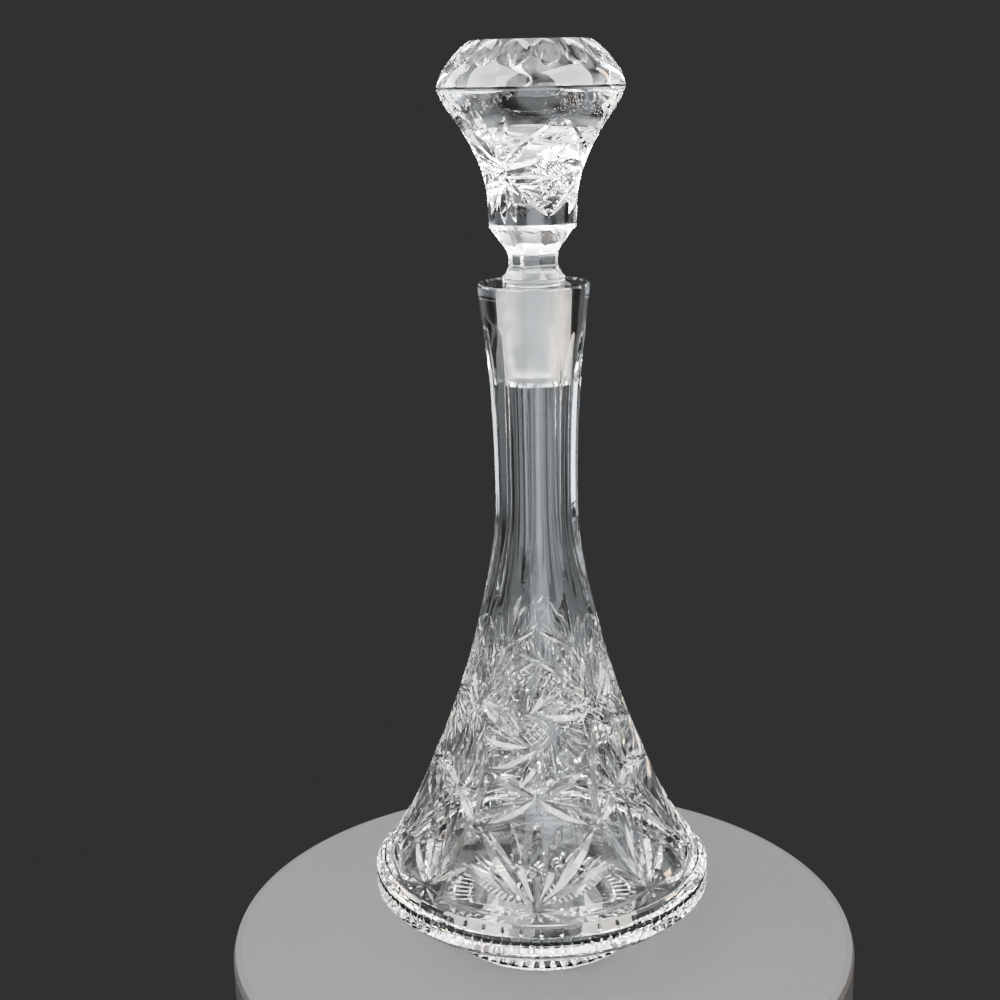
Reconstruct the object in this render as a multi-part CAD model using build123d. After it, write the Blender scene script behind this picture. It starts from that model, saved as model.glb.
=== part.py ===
from build123d import *
import math
import os

# ------------------------------------------------------------- driving dimensions, mm and degrees
# Frame: origin at the centre of the foot's standing plane, Z up along the axis, -Y is the front.
# Angles round the axis are measured from the front and grow towards +X.

# bottle, heights above the standing plane
LIP_Z = 300.7            # top of the neck
LIP_R = 24.0
LIP_ROUND = 0.9
NECK_R = 18.35           # narrowest part of the neck
NECK_Z = 212.0
RIM_R = 77.0             # widest part of the bowl
RIM_Z = 26.5             # lower edge of the rim band
RIM_BAND = 8.0           # height of the band
RIM_FLATS = 56           # flats ground round the band
RIM_LEAN = 0.2           # the band is this much narrower at its top
SHOULDER_STEP = 4.0      # from the rim in to the start of the cut cone
SHOULDER_Z = 38.5
FOOT_R = 46.0            # widest part of the foot
FOOT_H = 7.0
FOOT_BEVEL = 2.2
WAIST_R = 43.0           # undercut between the foot and the bowl
WAIST_Z = 9.5
RECESS_R = 37.0          # hollow under the foot
RECESS_H = 2.0

# inside of the bottle
FLOOR_Z = 17.0
BOWL_WALL = 6.5          # wall of the bowl at the shoulder, measured level
RIM_WALL = 9.5           # wall behind the rim
WIDEST_IN_Z = 34.0       # height where the inside is widest
BORE_R = 9.9             # neck bore below the ground seat

# ground seat and peg
SEAT_TOP_R = 10.45
SEAT_BOTTOM_R = 9.25
SEAT_LENGTH = 40.7
SEAT_LEAD = 0.8          # chamfer at the mouth
SEAT_GAP = 0.06          # radial clearance round the peg
PEG_LENGTH = 38.7        # how far the peg reaches below the lip
PEG_CHAMFER = 0.6
SHOULDER_GAP = 0.5       # clearance between the stopper's shoulder and the lip

# neck panels
FLUTES = 8
FLUTE_DEPTH = 1.45
FLUTE_Z0 = 157.0         # where the panels run out at the bowl
FLUTE_BELOW_LIP = 15.7   # where they run out under the lip
FLUTE_TURN = 12.5        # angle of the first panel

# mitre cuts on the bowl
PANELS = 8               # four wide panels and four narrow ones in turn
PATTERN_TURN = -2.0      # angle of the first wide panel
BURST_Z = 45.0
STAR_Z = 85.0
MITRE_HALF_ANGLE = 56.0  # half angle of the wheel's edge
MITRE_LIFT = 1.6         # how far a wheel's flanks reach above the glass

# stopper, heights above the lip
STOPPER_SHOULDER_R = 13.3
STOPPER_SHOULDER_H = 2.5
STOPPER_WAIST_R = 10.7
STOPPER_WAIST_UP = 9.8
STOPPER_COLLAR_UP = 16.3 # where the waist has opened to the shoulder's radius again
RIDGE_R = 18.4
RIDGE_UP = 24.3
RIDGE_H = 1.6
GIRDLE_R = 38.9
GIRDLE_UP = 80.3
GIRDLE_H = 1.6
CROWN_UP = 99.3          # flat top of the stopper
CROWN_TOP_R = 24.5
CROWN_BULGE_R = 34.3     # the crown's side passes here
CROWN_BULGE_UP = 90.3
WAIST_FACETS = 8
WAIST_TURN = -8.5        # angle of the first waist facet
FACET_DEPTH = 0.6
CROWN_PETALS = 16
CROWN_TURN = 11.25       # angle of the first petal
PETAL_R = 13.9           # radius of the round wheel that hollows a petal
PETAL_DEPTH = 0.7
STARS = 3                # stars round the bell
STAR_TURN = -39.0        # angle of the first star
STAR_UP = 44.8
DIAMOND_UP = 21.0        # upper and lower corners of the diamond between two stars
DIAMOND_DOWN = 19.0

# Outlines between two driving points, as (share of the height, share of the change in radius).
CONE_SHAPE = [(0.10, 0.79), (0.24, 0.587), (0.378, 0.41), (0.516, 0.262), (0.654, 0.146), (0.793, 0.054), (0.902, 0.008)]
NECK_SHAPE = [(0.36, 0.133), (0.65, 0.442)]
BELL_SHAPE = [(0.14, 0.02), (0.34, 0.09), (0.54, 0.29), (0.76, 0.62), (0.93, 0.92)]

# Burst of a wide and of a narrow panel: (angle from the middle of the panel, height of the tip, depth).
WIDE_BURST = [(0, 76, 1.1), (12.5, 74, 1.1), (-12.5, 74, 1.1), (26, 69, 1.0), (-26, 69, 1.0), (32, 55.5, 0.9), (-32, 55.5, 0.9)]
NARROW_BURST = [(-3.5, 79, 1.0), (3.5, 79, 1.0), (14, 71, 1.0), (-14, 71, 1.0)]
WIDE_STAR = [(-27, 94), (27, 94), (-24.5, 74), (24.5, 74)]
NARROW_STAR = [(-13, 92), (13, 92), (-15, 73), (15, 73)]
STAR_ARM_DEPTH = 0.9
# Star on the stopper: (angle, height from the star's middle, depth).
BELL_STAR = [(0, -18, 0.7), (17, -16.5, 0.6), (-17, -16.5, 0.6), (3, 14, 0.7), (-16, 15, 0.7), (-30, 12.5, 0.6), (-34, -2, 0.6)]
DIAMOND_DEPTH = 0.45

SHOULDER_R = RIM_R - SHOULDER_STEP


def between(low, high, shape):
    """Points of an outline between two (radius, height) ends, from its shares."""
    (r0, z0), (r1, z1) = low, high
    return [(r1 + (r0 - r1) * share_r, z0 + (z1 - z0) * share_z) for share_z, share_r in shape]


CONE = between((SHOULDER_R, SHOULDER_Z), (NECK_R, NECK_Z), CONE_SHAPE)
NECK = between((NECK_R, NECK_Z), (LIP_R, LIP_Z), [(share_z, 1 - share_r) for share_z, share_r in NECK_SHAPE])
BELL_LOW = (RIDGE_R, LIP_Z + RIDGE_UP + RIDGE_H / 2)
BELL_HIGH = (GIRDLE_R, LIP_Z + GIRDLE_UP - GIRDLE_H / 2)
BELL = between(BELL_LOW, BELL_HIGH, [(share_z, 1 - share_r) for share_z, share_r in BELL_SHAPE])


def radius_at(outline, z):
    """Radius of an outline of (radius, height) points at a height."""
    for (r0, z0), (r1, z1) in zip(outline, outline[1:]):
        if z <= z1:
            return r0 + (r1 - r0) * (z - z0) / (z1 - z0)
    return outline[-1][0]


def bottle_r(z):
    return radius_at([(SHOULDER_R, SHOULDER_Z), *CONE, (NECK_R, NECK_Z), *NECK, (LIP_R, LIP_Z)], z)


def bell_r(z):
    return radius_at([BELL_LOW, *BELL, BELL_HIGH], z)


def polar(angle, r, z):
    """The point at an angle from the front, a radius and a height."""
    turn = math.radians(angle)
    return Vector(r * math.sin(turn), -r * math.cos(turn), z)


def wheel(middle, along, outward, length, depth):
    """The bevelled wheel that grinds one leaf-shaped mitre cut of this length and depth."""
    along = along.normalized()
    outward = (outward - along * outward.dot(along)).normalized()
    radius = length * length / (8.0 * depth) + depth / 2.0
    flank = depth + MITRE_LIFT
    half = flank * math.tan(math.radians(MITRE_HALF_ANGLE))
    centre = middle + outward * (radius - depth)
    with BuildPart() as disc:
        with BuildSketch(Plane(origin=centre, x_dir=outward, z_dir=along)):
            with BuildLine():
                Polyline((0, -half), (radius - flank, -half), (radius, 0), (radius - flank, half), (0, half), close=True)
            make_face()
        revolve(axis=Axis(centre, outward.cross(along)))
    return disc.part


def mitre(angle0, z0, angle1, z1, depth, surface=bottle_r):
    """A mitre cut between two points of a turned surface, each given by its angle and height."""
    start, end = polar(angle0, surface(z0), z0), polar(angle1, surface(z1), z1)
    angle, z = (angle0 + angle1) / 2, (z0 + z1) / 2
    slope = (surface(z + 2) - surface(z - 2)) / 4
    outward = polar(angle, 1, -slope).normalized()
    middle = polar(angle, surface(z), z)
    rise = (middle - (start + end) * 0.5).dot(outward)
    return wheel(middle, end - start, outward, (end - start).length, depth + max(rise, 0))


def grind(body, cuts):
    """Take the cuts away a few at a time, and keep the glass itself."""
    for i in range(0, len(cuts), 8):
        body = body - cuts[i:i + 8]
    return max(body.solids(), key=lambda solid: solid.volume)


def bottle_blank():
    """The turned bottle: foot, bowl, rim, cone, neck and lip outside; seat, bore and bowl inside."""
    neck_wall = NECK_R - BORE_R
    inside = []
    for (r, z), (share, _) in zip(CONE, CONE_SHAPE):
        inside.append((r - BOWL_WALL - (neck_wall - BOWL_WALL) * share, z))
    widest = RIM_R - RIM_WALL
    with BuildPart() as blank:
        with BuildSketch(Plane.XZ):
            with BuildLine():
                foot = Polyline((FOOT_R - FOOT_BEVEL, 0), (FOOT_R, FOOT_BEVEL), (FOOT_R, FOOT_H), (WAIST_R, WAIST_Z))
                under = Spline(foot @ 1, (RIM_R - 13, RIM_Z - 10), (RIM_R - 1.2, RIM_Z - 1))
                rim = Polyline(under @ 1, (RIM_R, RIM_Z), (RIM_R - RIM_LEAN, RIM_Z + RIM_BAND),
                               (SHOULDER_R + 0.6, SHOULDER_Z - 0.6), (SHOULDER_R, SHOULDER_Z))
                side = Spline(rim @ 1, *CONE, (NECK_R, NECK_Z), *NECK, (LIP_R, LIP_Z - LIP_ROUND))
                lip = Spline(side @ 1, (LIP_R - LIP_ROUND * 0.3, LIP_Z - LIP_ROUND * 0.3), (LIP_R - LIP_ROUND, LIP_Z))
                seat = Polyline(lip @ 1, (SEAT_TOP_R + SEAT_LEAD, LIP_Z), (SEAT_TOP_R, LIP_Z - SEAT_LEAD),
                                (SEAT_BOTTOM_R, LIP_Z - SEAT_LENGTH), (BORE_R, LIP_Z - SEAT_LENGTH - 2), (BORE_R, NECK_Z))
                wall = Spline(seat @ 1, *reversed(inside), (widest, WIDEST_IN_Z), tangents=((0, -1), (0.1, -1)))
                corner = Spline(wall @ 1, (widest - 2.5, 0.6 * WIDEST_IN_Z + 0.4 * FLOOR_Z), (widest - 9, FLOOR_Z + 6.4),
                                tangents=((0, -1), (-1, -0.3)))
                floor = Spline(corner @ 1, (widest / 2, FLOOR_Z + 1.6), (0, FLOOR_Z), tangents=((-1, -0.3), (-1, 0)))
                Polyline(floor @ 1, (0, RECESS_H), (RECESS_R - RECESS_H, RECESS_H), (RECESS_R, 0), foot @ 0)
            make_face()
        revolve(axis=Axis.Z)
    return blank.part


def neck_flutes():
    """Flat panels down the neck, whose depth follows its outline and runs out at both ends."""
    top = LIP_Z - FLUTE_BELOW_LIP
    steps = 9
    edge = []
    for i in range(steps + 1):
        z = FLUTE_Z0 + (top - FLUTE_Z0) * i / steps
        bite = min(1.0, 1.35 * math.sin(math.pi * i / steps))
        edge.append((bottle_r(z) + 0.5 - (FLUTE_DEPTH + 0.5) * bite, z))
    with BuildPart() as flute:
        with BuildSketch(Plane.XZ):
            with BuildLine():
                inner = Spline(*edge)
                Polyline(inner @ 1, (3 * LIP_R, top), (3 * LIP_R, FLUTE_Z0), inner @ 0)
            make_face()
        extrude(amount=LIP_R, both=True)
    return [Rot(0, 0, FLUTE_TURN - 90 + 360 / FLUTES * k) * flute.part for k in range(FLUTES)]


def rim_flats():
    """What is ground off the rim band to leave its flats."""
    with BuildPart() as ring:
        with BuildSketch(Plane.XY.offset(RIM_Z - 4)):
            Circle(RIM_R + 4)
            RegularPolygon(RIM_R - 0.05, RIM_FLATS, major_radius=True, mode=Mode.SUBTRACT)
        extrude(amount=RIM_BAND + 6)
    return ring.part


def bowl_cuts():
    """Bursts and four-armed stars round the bowl, wide and narrow panels in turn."""
    cuts = []
    for k in range(PANELS):
        centre = PATTERN_TURN + 360 / PANELS * k
        wide = k % 2 == 0
        for angle, z, depth in WIDE_BURST if wide else NARROW_BURST:
            cuts.append(mitre(centre + angle * 0.04, BURST_Z, centre + angle, z, depth))
        for angle, z in WIDE_STAR if wide else NARROW_STAR:
            cuts.append(mitre(centre, STAR_Z, centre + angle, z, STAR_ARM_DEPTH))
    return cuts


def stopper_blank():
    """The turned stopper: ground peg, shoulder, waist, ridge, bell, girdle and crown."""
    shoulder_z = LIP_Z + SHOULDER_GAP
    collar_z = LIP_Z + STOPPER_COLLAR_UP
    ridge_z = LIP_Z + RIDGE_UP
    girdle_z = LIP_Z + GIRDLE_UP
    peg_z = LIP_Z - PEG_LENGTH
    taper = (SEAT_TOP_R - SEAT_BOTTOM_R) / (SEAT_LENGTH - SEAT_LEAD)

    def peg_r(z):
        return SEAT_TOP_R - (LIP_Z - SEAT_LEAD - z) * taper - SEAT_GAP

    with BuildPart() as blank:
        with BuildSketch(Plane.XZ):
            with BuildLine():
                peg = Polyline((0, peg_z), (peg_r(peg_z) - PEG_CHAMFER, peg_z), (peg_r(peg_z + PEG_CHAMFER), peg_z + PEG_CHAMFER),
                               (peg_r(shoulder_z), shoulder_z), (STOPPER_SHOULDER_R, shoulder_z),
                               (STOPPER_SHOULDER_R, LIP_Z + STOPPER_SHOULDER_H))
                waist = ThreePointArc(peg @ 1, (STOPPER_WAIST_R, LIP_Z + STOPPER_WAIST_UP), (STOPPER_SHOULDER_R, collar_z))
                ridge = Polyline(waist @ 1, (RIDGE_R, ridge_z - RIDGE_H / 2), BELL_LOW)
                bell = Spline(ridge @ 1, *BELL, BELL_HIGH)
                girdle = Line(bell @ 1, (GIRDLE_R, girdle_z + GIRDLE_H / 2))
                crown = ThreePointArc(girdle @ 1, (CROWN_BULGE_R, LIP_Z + CROWN_BULGE_UP), (CROWN_TOP_R, LIP_Z + CROWN_UP))
                Polyline(crown @ 1, (0, LIP_Z + CROWN_UP), peg @ 0)
            make_face()
        revolve(axis=Axis.Z)
    return blank.part


def crown_petals():
    """Round hollows ground side by side round the crown."""
    middle_r = (CROWN_BULGE_R + CROWN_TOP_R) / 2 + 2.2
    middle_z = LIP_Z + (CROWN_BULGE_UP + CROWN_UP) / 2 - 2.1
    lean = math.atan2(CROWN_BULGE_R - CROWN_TOP_R, CROWN_UP - CROWN_BULGE_UP)
    petals = []
    for k in range(CROWN_PETALS):
        angle = CROWN_TURN + 360 / CROWN_PETALS * k
        out = polar(angle, math.cos(lean), math.sin(lean))
        centre = polar(angle, middle_r, middle_z) + out * (PETAL_R - PETAL_DEPTH)
        petals.append(Pos(*centre) * Sphere(PETAL_R))
    return petals


def waist_facets():
    """Flats round the waist and the bevel under the ridge."""
    low = LIP_Z + SHOULDER_GAP + 0.7
    ridge_z = LIP_Z + RIDGE_UP - RIDGE_H / 2
    reach = 2 * RIDGE_R
    with BuildPart() as facet:
        with BuildSketch(Plane.XZ):
            with BuildLine():
                inner = Spline((STOPPER_SHOULDER_R - FACET_DEPTH, low), (STOPPER_WAIST_R - FACET_DEPTH, LIP_Z + STOPPER_WAIST_UP),
                               (STOPPER_SHOULDER_R - 1.4 * FACET_DEPTH, LIP_Z + STOPPER_COLLAR_UP))
                Polyline(inner @ 1, (RIDGE_R - 1.1 * FACET_DEPTH, ridge_z - 0.5), (RIDGE_R + 1, ridge_z + 0.7), (reach, ridge_z + 0.7),
                         (reach, low - 0.8), (STOPPER_SHOULDER_R + 1, low - 0.8), inner @ 0)
            make_face()
        extrude(amount=RIDGE_R, both=True)
    return [Rot(0, 0, WAIST_TURN - 90 + 360 / WAIST_FACETS * k) * facet.part for k in range(WAIST_FACETS)]


def bell_cuts():
    """Stars round the bell and the diamonds between them."""
    cuts = []
    star_z = LIP_Z + STAR_UP
    half_turn = 180 / STARS
    for k in range(STARS):
        centre = STAR_TURN + 2 * half_turn * k
        for angle, up, depth in BELL_STAR:
            cuts.append(mitre(centre, star_z, centre + angle, star_z + up, depth, bell_r))
        for side in (1, -1):
            for corner in (DIAMOND_UP, -DIAMOND_DOWN):
                for a, b in ((0, 0.5), (0.5, 1)):
                    cuts.append(mitre(centre + side * half_turn * a, star_z + corner * a,
                                      centre + side * half_turn * b, star_z + corner * b, DIAMOND_DEPTH, bell_r))
    return cuts


decanter_body = grind(bottle_blank() - neck_flutes() - rim_flats(), bowl_cuts())
stopper = grind(stopper_blank() - crown_petals() - waist_facets(), bell_cuts())

os.makedirs("parts", exist_ok=True)
export_step(decanter_body, "parts/decanter_body.step")
export_step(stopper, "parts/stopper.step")
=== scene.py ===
"""Cut crystal decanter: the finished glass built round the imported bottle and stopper.

Heights and radii are in millimetres in this file and become metres where a mesh is made. The
axis is Z, the foot stands on Z = 0, and angles round the axis are in degrees from the front
(-Y), growing towards +X.
"""

import logging
import math
from dataclasses import dataclass, field, replace
from enum import Enum

import bmesh
import bpy
import numpy as np
from mathutils import Matrix, Vector

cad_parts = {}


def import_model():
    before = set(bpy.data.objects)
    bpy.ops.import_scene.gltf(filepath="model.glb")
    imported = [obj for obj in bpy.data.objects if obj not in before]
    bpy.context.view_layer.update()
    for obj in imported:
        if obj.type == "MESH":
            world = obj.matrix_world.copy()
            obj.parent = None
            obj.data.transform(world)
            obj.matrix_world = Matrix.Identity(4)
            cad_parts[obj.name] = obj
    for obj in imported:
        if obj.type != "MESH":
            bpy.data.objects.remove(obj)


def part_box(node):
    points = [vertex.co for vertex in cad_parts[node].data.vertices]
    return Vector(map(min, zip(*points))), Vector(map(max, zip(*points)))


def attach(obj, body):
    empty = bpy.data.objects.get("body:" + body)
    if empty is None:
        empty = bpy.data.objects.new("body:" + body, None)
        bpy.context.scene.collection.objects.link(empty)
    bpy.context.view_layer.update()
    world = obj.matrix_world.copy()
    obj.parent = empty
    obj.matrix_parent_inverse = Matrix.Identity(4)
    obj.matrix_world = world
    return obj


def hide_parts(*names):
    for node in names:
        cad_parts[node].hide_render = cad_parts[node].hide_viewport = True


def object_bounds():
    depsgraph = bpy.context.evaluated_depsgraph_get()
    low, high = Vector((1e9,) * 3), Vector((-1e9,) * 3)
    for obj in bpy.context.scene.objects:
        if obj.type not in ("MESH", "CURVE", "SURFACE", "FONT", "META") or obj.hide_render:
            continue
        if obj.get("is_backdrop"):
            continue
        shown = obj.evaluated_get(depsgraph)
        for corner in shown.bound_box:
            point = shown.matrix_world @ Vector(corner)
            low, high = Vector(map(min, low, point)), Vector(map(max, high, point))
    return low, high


LOG = logging.getLogger("decanter")
MM = 0.001
NO_FLAT = 1000.0  # distance of a flat from the axis, in metres, where there is none
FROST_R = 10.9  # the ground seat and peg lie inside this radius
SEAT_HIGH_R, SEAT_LOW_R, SEAT_LOW_Z = 10.45, 9.25, 260.0  # the seat's taper
SEAT_LEAD = 0.8  # chamfer at the mouth
SEAT_GAP = 0.06  # clearance round the peg
Point = tuple[float, float]
Colour = tuple[float, float, float]


# --------------------------------------------------------------------------- outlines
def smooth_run(points: list[Point], count: int) -> list[Point]:
    """A natural cubic curve through a few points.

    Args:
        points: pairs of numbers that the curve passes through.
        count: number of pairs returned, ends included.

    Returns:
        Evenly spaced pairs along the curve.
    """
    knots = np.array(points, float)
    chord = np.concatenate([[0.0], np.cumsum(np.hypot(*np.diff(knots, axis=0).T))])
    size, gaps = len(knots), np.diff(chord)
    system = np.eye(size)
    for i in range(1, size - 1):
        system[i, i - 1:i + 2] = gaps[i - 1], 2 * (gaps[i - 1] + gaps[i]), gaps[i]
    at = np.linspace(0, chord[-1], count)
    span = np.clip(np.searchsorted(chord, at, side="right") - 1, 0, size - 2)
    u, h = at - chord[span], gaps[span]
    curved = []
    for values in knots.T:
        slope = np.diff(values) / gaps
        bend = np.zeros(size)
        bend[1:-1] = 6 * np.diff(slope)
        second = np.linalg.solve(system, bend)
        m0, m1 = second[span], second[span + 1]
        along = slope[span] - h * (2 * m0 + m1) / 6
        curved.append(values[span] + u * along + u ** 2 * m0 / 2 + u ** 3 * (m1 - m0) / (6 * h))
    return [(float(a), float(b)) for a, b in zip(*curved)]


def run(points: list[Point], count: int) -> list[Point]:
    """A straight run between two points, or a curve through more.

    Args:
        points: pairs of numbers that it passes through.
        count: number of pairs returned, ends included.

    Returns:
        Evenly spaced pairs along it.
    """
    if len(points) > 2:
        return smooth_run(points, count)
    (a0, z0), (a1, z1) = points
    last = count - 1
    return [(a0 + (a1 - a0) * i / last, z0 + (z1 - z0) * i / last) for i in range(count)]


def between(low: Point, high: Point, shape: list[Point]) -> list[Point]:
    """Points between two (radius, height) ends, from (share of height, share of radius) pairs."""
    (r0, z0), (r1, z1) = low, high
    return [(r1 + (r0 - r1) * share_r, z0 + (z1 - z0) * share_z) for share_z, share_r in shape]


def spread(points: list[Point], step: float) -> list[Point]:
    """Put more points on straight stretches.

    Args:
        points: corners of the stretches.
        step: most that two points may be apart.

    Returns:
        The corners with the new points between them.
    """
    result = [points[0]]
    for (r0, z0), (r1, z1) in zip(points, points[1:]):
        parts = max(1, math.ceil(math.hypot(r1 - r0, z1 - z0) / step))
        result += [(r0 + (r1 - r0) * i / parts, z0 + (z1 - z0) * i / parts) for i in range(1, parts + 1)]
    return result


@dataclass
class Facets:
    """Flats ground side by side round a turned shape.

    Attributes:
        sides: how many there are round the axis.
        turn: angle of the middle of the first one.
        low: height where they begin.
        high: height where they end.
        depth: how deep each is in its middle.
        fade: share of their height over which they run out at each end.
        least_r: points nearer the axis than this are left round.
    """

    sides: int
    turn: float
    low: float
    high: float
    depth: float
    fade: float = 0.0
    least_r: float = 5.0

    def bite(self, z: float) -> float | None:
        """How deep the flat is at a height.

        Args:
            z: the height.

        Returns:
            The depth in the flat's middle, or None where there is no flat.
        """
        if not self.low - 1e-6 <= z <= self.high + 1e-6:
            return None
        share = (z - self.low) / (self.high - self.low)
        ease = min(share, 1 - share) / self.fade if self.fade else 1.0
        return self.depth * math.sin(math.pi / 2 * max(0.0, min(1.0, ease)))


@dataclass
class Turned:
    """A shape turned about the axis, with flats ground on it.

    Attributes:
        name: name of the mesh.
        outline: (radius, height) points from the axis underneath, round the outside, and back.
        facets: the flats.
        columns: steps round the axis.
        start: angle of the first column.
    """

    name: str
    outline: list[Point]
    facets: list[Facets]
    columns: int
    start: float

    def outside(self) -> list[Point]:
        """The part of the outline up to its highest point."""
        top = max(range(len(self.outline)), key=lambda i: self.outline[i][1])
        return self.outline[:top + 1]

    def line(self) -> bpy.types.Object:
        """Draw the outline as a line of points that carry the sizes of the flats.

        Returns:
            The line.
        """
        verts = [(r * MM, 0.0, z * MM) for r, z in self.outline]
        count = len(verts)
        flat, sides, turn = np.full(count, NO_FLAT), np.full(count, 8.0), np.zeros(count)
        for i, (r, z) in enumerate(self.outside()):
            for facet in self.facets:
                bite = facet.bite(z)
                if bite is not None and r > facet.least_r:
                    flat[i], sides[i], turn[i] = (r - bite) * MM, facet.sides, math.radians(facet.turn)
        obj = line_object(self.name, verts, [(i, i + 1) for i in range(count - 1)])
        for key, values in (("flat", flat), ("sides", sides), ("turn", turn)):
            store(obj, key, values)
        return obj

    def build(self, tree: bpy.types.NodeTree, glass: bpy.types.Material) -> bpy.types.Object:
        """Turn the outline.

        Args:
            tree: the tree that turns outlines.
            glass: finish of the surface.

        Returns:
            A closed mesh.
        """
        values = {"Columns": self.columns, "Start": math.radians(self.start), "Glass": glass}
        return run_tree(self.line(), tree, values)


def linked(name: str, mesh: bpy.types.Mesh) -> bpy.types.Object:
    """Make an object that holds a mesh.

    Args:
        name: its name.
        mesh: the mesh.

    Returns:
        The object, linked to the scene.
    """
    obj = bpy.data.objects.new(name, mesh)
    bpy.context.scene.collection.objects.link(obj)
    return obj


def modelled(name: str, shape: bmesh.types.BMesh) -> bpy.types.Object:
    """Make an object of a shape, and free the shape.

    Args:
        name: its name.
        shape: the shape.

    Returns:
        The object.
    """
    mesh = bpy.data.meshes.new(name)
    shape.to_mesh(mesh)
    shape.free()
    return linked(name, mesh)


def line_object(name: str, verts: list, edges: list) -> bpy.types.Object:
    """Make an object of points and the edges between them.

    Args:
        name: its name.
        verts: the points.
        edges: pairs of point numbers.

    Returns:
        The object, linked to the scene.
    """
    mesh = bpy.data.meshes.new(name)
    mesh.from_pydata(verts, edges, [])
    return linked(name, mesh)


def store(obj: bpy.types.Object, key: str, values: np.ndarray) -> None:
    """Keep one number or one direction on each point of a line.

    Args:
        obj: the line.
        key: name of the attribute.
        values: one number or direction for each point.
    """
    values = np.asarray(values, np.float32)
    vector = values.ndim == 2
    layer = obj.data.attributes.new(key, "FLOAT_VECTOR" if vector else "FLOAT", "POINT")
    layer.data.foreach_set("vector" if vector else "value", values.ravel())


# --------------------------------------------------------------------------- node trees
@dataclass
class Nodes:
    """A node tree that is built a node at a time.

    Attributes:
        group: the tree.
    """

    group: bpy.types.NodeTree

    @classmethod
    def of(cls, owner: bpy.types.Material | bpy.types.World) -> "Nodes":
        """Start on the emptied tree of a material or a world.

        Args:
            owner: the material or world.

        Returns:
            The tree.
        """
        owner.use_nodes = True
        owner.node_tree.nodes.clear()
        return cls(owner.node_tree)

    def split(self, test: str, other: object, hit: object, output: str) -> None:
        """Send out one shader for rays that pass a test of the Light Path node, another for the rest.

        Args:
            test: output of the Light Path node.
            other: shader for the rest.
            hit: shader for the rays that pass.
            output: type of the output node.
        """
        share = self.add("ShaderNodeLightPath").outputs[test]
        both = self.add("ShaderNodeMixShader", {0: share, 1: other, 2: hit})
        self.add(output, {"Surface": both.outputs[0]})

    def add(self, kind: str, values: dict | None = None, **settings: object) -> bpy.types.Node:
        """Add a node.

        Args:
            kind: node type.
            values: what goes into its inputs, by name or number: a socket or a plain value.
            settings: node properties.

        Returns:
            The node.
        """
        node = self.group.nodes.new(kind)
        for key, value in settings.items():
            setattr(node, key, value)
        for key, value in (values or {}).items():
            if isinstance(value, bpy.types.NodeSocket):
                self.group.links.new(value, node.inputs[key])
            else:
                node.inputs[key].default_value = value
        return node

    def math(self, operation: str, *values: object) -> bpy.types.NodeSocket:
        """The result of a Math node."""
        return self.add("ShaderNodeMath", dict(enumerate(values)), operation=operation).outputs[0]

    def blend(self, share: bpy.types.NodeSocket, first: Colour, second: Colour) -> bpy.types.NodeSocket:
        """A colour between two."""
        values = {"Factor": share, 6: (*first, 1), 7: (*second, 1)}
        return self.add("ShaderNodeMix", values, data_type="RGBA").outputs[2]


class Recipe(Nodes):
    """A Geometry Nodes tree with named inputs."""

    def __init__(self, name: str, inputs: dict[str, str]) -> None:
        """Start a tree.

        Args:
            name: name of the tree.
            inputs: name and kind of each input after the geometry.
        """
        super().__init__(bpy.data.node_groups.new(name, "GeometryNodeTree"))
        face = self.group.interface
        face.new_socket("Geometry", in_out="INPUT", socket_type="NodeSocketGeometry")
        face.new_socket("Geometry", in_out="OUTPUT", socket_type="NodeSocketGeometry")
        for key, kind in inputs.items():
            face.new_socket(key, in_out="INPUT", socket_type=f"NodeSocket{kind}")
        self.source = self.add("NodeGroupInput")
        self.result = self.add("NodeGroupOutput")

    def given(self, name: str) -> bpy.types.NodeSocket:
        """The input of that name."""
        return self.source.outputs[name]

    def stored(self, name: str, data_type: str = "FLOAT") -> bpy.types.NodeSocket:
        """A named attribute of the geometry."""
        return self.add("GeometryNodeInputNamedAttribute", {"Name": name}, data_type=data_type).outputs[0]

    def place(self) -> list[bpy.types.NodeSocket]:
        """X, Y and Z of each point or face."""
        position = self.add("GeometryNodeInputPosition").outputs[0]
        return list(self.add("ShaderNodeSeparateXYZ", {0: position}).outputs)

    def ring(self, geometry: bpy.types.NodeSocket) -> bpy.types.NodeSocket:
        """Copy a geometry at even steps round the axis, as often as the input Repeats says.

        Args:
            geometry: what is copied.

        Returns:
            The copies as instances.
        """
        points = self.add("GeometryNodeMeshLine", {"Count": self.given("Repeats"), "Offset": (0, 0, 0)})
        step = self.math("DIVIDE", math.tau, self.given("Repeats"))
        turn = self.math("MULTIPLY", self.add("GeometryNodeInputIndex").outputs[0], step)
        spin = self.add("FunctionNodeAxisAngleToRotation", {"Axis": (0, 0, 1), "Angle": turn})
        return self.add("GeometryNodeInstanceOnPoints", {"Points": points.outputs[0], "Instance": geometry,
                                                         "Rotation": spin.outputs[0]}).outputs[0]

    def finish(self, geometry: bpy.types.NodeSocket, material: str, only: object = True) -> bpy.types.NodeTree:
        """Make everything real, give it a finish and send it out.

        Args:
            geometry: what the tree has made.
            material: name of the input that holds the finish.
            only: which faces take the finish.

        Returns:
            The tree.
        """
        real = self.add("GeometryNodeRealizeInstances", {"Geometry": geometry})
        dressed = self.add("GeometryNodeSetMaterial", {"Geometry": real.outputs[0], "Selection": only,
                                                       "Material": self.given(material)})
        self.group.links.new(dressed.outputs[0], self.result.inputs["Geometry"])
        return self.group


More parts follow.
